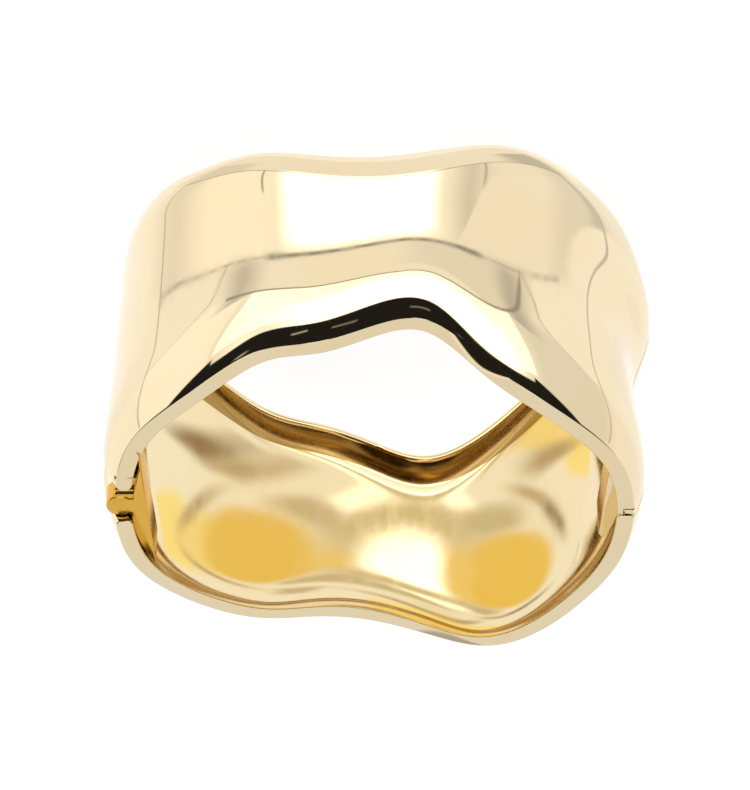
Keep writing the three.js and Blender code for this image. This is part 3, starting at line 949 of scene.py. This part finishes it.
# The studio, as the directions that a mirror finish looks in. Each row is a panel of even light, and later
# rows lie over earlier ones. Light is the panel's strength, and all else is in degrees:
# - At is its middle, round from -Y towards +X, and it lies between near and far to both sides of that.
# - It lies between low and high above the horizon.
# - Its edges are soft over so much, and its sides over fade.
# - It falls away to both sides of its peak, by slope for each degree and by bend for each degree squared.
# - Its sides lean out by lean for each degree up.
STUDIO = [
    {"at": 0, "far": 181, "low": -95, "high": 95, "soft": 1, "light": 1.06},
    {"at": -125, "far": 25, "low": -57, "high": 30, "soft": 1, "light": 0.98, "fade": 8},
    {"at": 0, "far": 104, "low": -43.5, "high": 95, "soft": 0.4, "light": 0.98, "fade": 0.8},
    {"at": 77, "far": 27, "low": -41, "high": 10, "soft": 1.5, "light": 1.1, "fade": 1},
    {"at": -78, "far": 26, "low": -41, "high": 10, "soft": 1.5, "light": 0.83, "fade": 6},
    {"at": 0, "far": 120, "low": -95, "high": -57, "soft": 0.6, "light": 0.95},
    {"at": 82, "far": 22, "low": -68, "high": -57, "soft": 0.6, "light": 0.8, "fade": 8},
    {"at": -85, "far": 22, "low": -70, "high": -57, "soft": 0.6, "light": 0.6, "fade": 10},
    {"at": 75, "far": 29, "low": -57, "high": -43.5, "soft": 0.3, "light": 1.1, "fade": 0.6},
    {"at": 96, "far": 12, "low": -57, "high": -43.5, "soft": 0.3, "light": 0.88, "fade": 12},
    {"at": -75, "far": 29, "low": -57, "high": -43.5, "soft": 0.3, "light": 0.95, "fade": 0.6},
    {"at": 0, "far": 46, "low": -57, "high": -43.5, "soft": 0.4, "light": 1.08, "fade": 0.6},
    {"at": -40, "far": 6, "low": -57, "high": -44, "soft": 0.6, "light": 0.72, "fade": 8},
    {"at": 6, "far": 28, "low": -58, "high": -45, "soft": 1.5, "light": 3.2, "fade": 7},
    {"at": -75, "far": 29, "low": -49, "high": -43.5, "soft": 0.4, "light": 0.97, "lean": 2.5},
    {"at": -94, "far": 12, "low": -57, "high": -40, "soft": 0.5, "light": 0.83, "fade": 8},
    {"at": -101, "far": 3, "low": -57, "high": -40, "soft": 0.5, "light": 0.66, "fade": 3},
    {"at": 0, "near": 62, "far": 130, "low": -43.5, "high": -30, "soft": 0.3, "light": 1.02, "lean": 6},
    {"at": 54, "far": 6, "low": -43.5, "high": -36, "soft": 0.6, "light": 0.6, "fade": 8},
    {"at": -54, "far": 8, "low": -43.5, "high": -36, "soft": 0.6, "light": 0.5, "fade": 9},
    {"at": -33, "far": 18, "low": -43.5, "high": -30, "soft": 0.6, "light": 0.85, "fade": 8},
    {"at": 17, "far": 30, "low": -21, "high": 13, "soft": 0.8, "light": 1.5, "peak": -14, "slope": 0.25},
    {"at": -31, "far": 18, "low": -21, "high": 13, "soft": 0.8, "light": 1.5, "peak": -14, "slope": 0.45},
    {"at": 0, "far": 32, "low": -16, "high": 13, "soft": 5, "light": 2.3, "fade": 12},
    {"at": 0, "far": 47, "low": 13, "high": 75, "soft": 0.8, "light": 0.014, "bend": 0.004},
    {"at": 0, "near": 46, "far": 112, "low": 1, "high": 75, "soft": 0.8, "light": 0.014},
    {"at": -12, "far": 9, "low": 22, "high": 23.5, "soft": 0.8, "light": 0.25},
    {"at": 27, "far": 6, "low": 18, "high": 19.5, "soft": 0.8, "light": 0.5},
    {"at": 0, "far": 104, "low": -57.5, "high": -56.8, "soft": 0.3, "light": 0.45},
    {"at": 0, "far": 44, "low": -43.8, "high": -43.3, "soft": 0.2, "light": 0.3, "fade": 3},
    {"at": 73, "far": 31, "low": -43.6, "high": -43.5, "soft": 0.06, "light": 0.4, "fade": 2},
    {"at": -62, "far": 22, "low": -43.6, "high": -43.5, "soft": 0.06, "light": 0.4, "fade": 2},
    {"at": 23, "far": 37, "low": -22, "high": -21, "soft": 0.4, "light": 0.35, "peak": -14, "slope": 0.25},
    {"at": -38, "far": 24, "low": -22, "high": -21, "soft": 0.4, "light": 0.35, "peak": -14, "slope": 0.45},
    {"at": 0, "near": 45.4, "far": 46.6, "low": -57, "high": -49, "soft": 0.3, "light": 0.5},
    {"at": 0, "near": 103.3, "far": 104.3, "low": -57, "high": -10, "soft": 0.4, "light": 0.55},
    {"at": 0, "near": 61.8, "far": 63, "low": -43.5, "high": -36.5, "soft": 0.3, "light": 0.55, "lean": 6},
    {"at": 180, "far": 66, "low": 10, "high": 75, "soft": 4, "light": 0.82},
    {"at": 180, "far": 34, "low": -14, "high": 10, "soft": 3, "light": 0.45},
]


# A near distance for the panels that have none: well past their middle, to the other side.
NO_NEAR = -20.0


def panel_mask(nodes, round_z, up, panel):
    """Where a panel lies, as 1 on it and 0 off it, for a direction round Z and up."""
    soft = panel["soft"]
    fade = panel.get("fade", soft)
    aside = nodes.turned(round_z, panel["at"])
    from_peak = nodes.turned(round_z, panel.get("peak", panel["at"]))
    falls = nodes.maths("MULTIPLY_ADD", from_peak, panel.get("bend", 0.0), panel.get("slope", 0.0))
    height = nodes.maths("MULTIPLY_ADD", from_peak, falls, up)
    lean = nodes.maths("MULTIPLY", nodes.maths("SUBTRACT", up, panel["low"]), panel.get("lean", 0.0))
    near = nodes.maths("ADD", lean, panel.get("near", NO_NEAR))
    far = nodes.maths("ADD", lean, panel["far"])
    between = nodes.maths("SUBTRACT", nodes.step(aside, near, fade), nodes.step(aside, far, fade))
    above_low = nodes.step(height, panel["low"], soft)
    above_high = nodes.step(height, panel["high"], soft)
    tall = nodes.maths("SUBTRACT", above_low, above_high)
    return nodes.maths("MULTIPLY", nodes.maths("MAXIMUM", between, 0.0), tall)


def studio_world():
    """The studio for mirrored light, and plain white for all other light."""
    world = bpy.data.worlds.new("studio")
    world.use_nodes = True
    world.node_tree.nodes.clear()
    nodes = Nodes(world.node_tree)
    way = nodes.add("ShaderNodeSeparateXYZ", {0: nodes.add("ShaderNodeTexCoord").outputs["Generated"]})
    back = nodes.maths("MULTIPLY", way.outputs["Y"], -1.0)
    round_z = nodes.maths("DEGREES", nodes.maths("ARCTAN2", way.outputs["X"], back))
    up = nodes.maths("DEGREES", nodes.maths("ARCSINE", way.outputs["Z"]))
    light = 1.0
    for panel in STUDIO:
        light = nodes.numbers(panel_mask(nodes, round_z, up, panel), light, panel["light"])
    mirrored = nodes.add("ShaderNodeLightPath").outputs["Is Glossy Ray"]
    strength = nodes.numbers(mirrored, 1.0, light)
    sky = nodes.add("ShaderNodeBackground", {"Color": (1, 1, 1, 1), "Strength": strength})
    nodes.add("ShaderNodeOutputWorld", {"Surface": sky.outputs[0]})
    return world


# The camera looks in at the front from above. The lens and the sensor are in millimetres, and the distance
# and the nearest thing that it sees in metres.
ELEVATION = math.radians(42)
DISTANCE = 0.62
AIM = (Vector((-0.12, -0.57, 21.67)) + PLACE) * MM
LENS = 231.7
SENSOR = 36
CLIP_START = 0.01


def look_in():
    """The camera, turned over so that the upper half is uppermost in the view."""
    towards = Vector((0, -math.cos(ELEVATION), math.sin(ELEVATION)))
    data = bpy.data.cameras.new("camera")
    data.lens = LENS
    data.sensor_width = SENSOR
    data.clip_start = CLIP_START
    camera = bpy.data.objects.new("camera", data)
    bpy.context.scene.collection.objects.link(camera)
    camera.location = AIM + towards * DISTANCE
    camera.rotation_euler = (-towards).to_track_quat("-Z", "Y").to_euler()
    camera.rotation_euler.rotate_axis("Z", math.pi)
    bpy.context.scene.camera = camera


pale_floor()
hollow_floor_painted_light()
bpy.context.scene.world = studio_world()
look_in()
bpy.context.scene.view_settings.view_transform = "Standard"
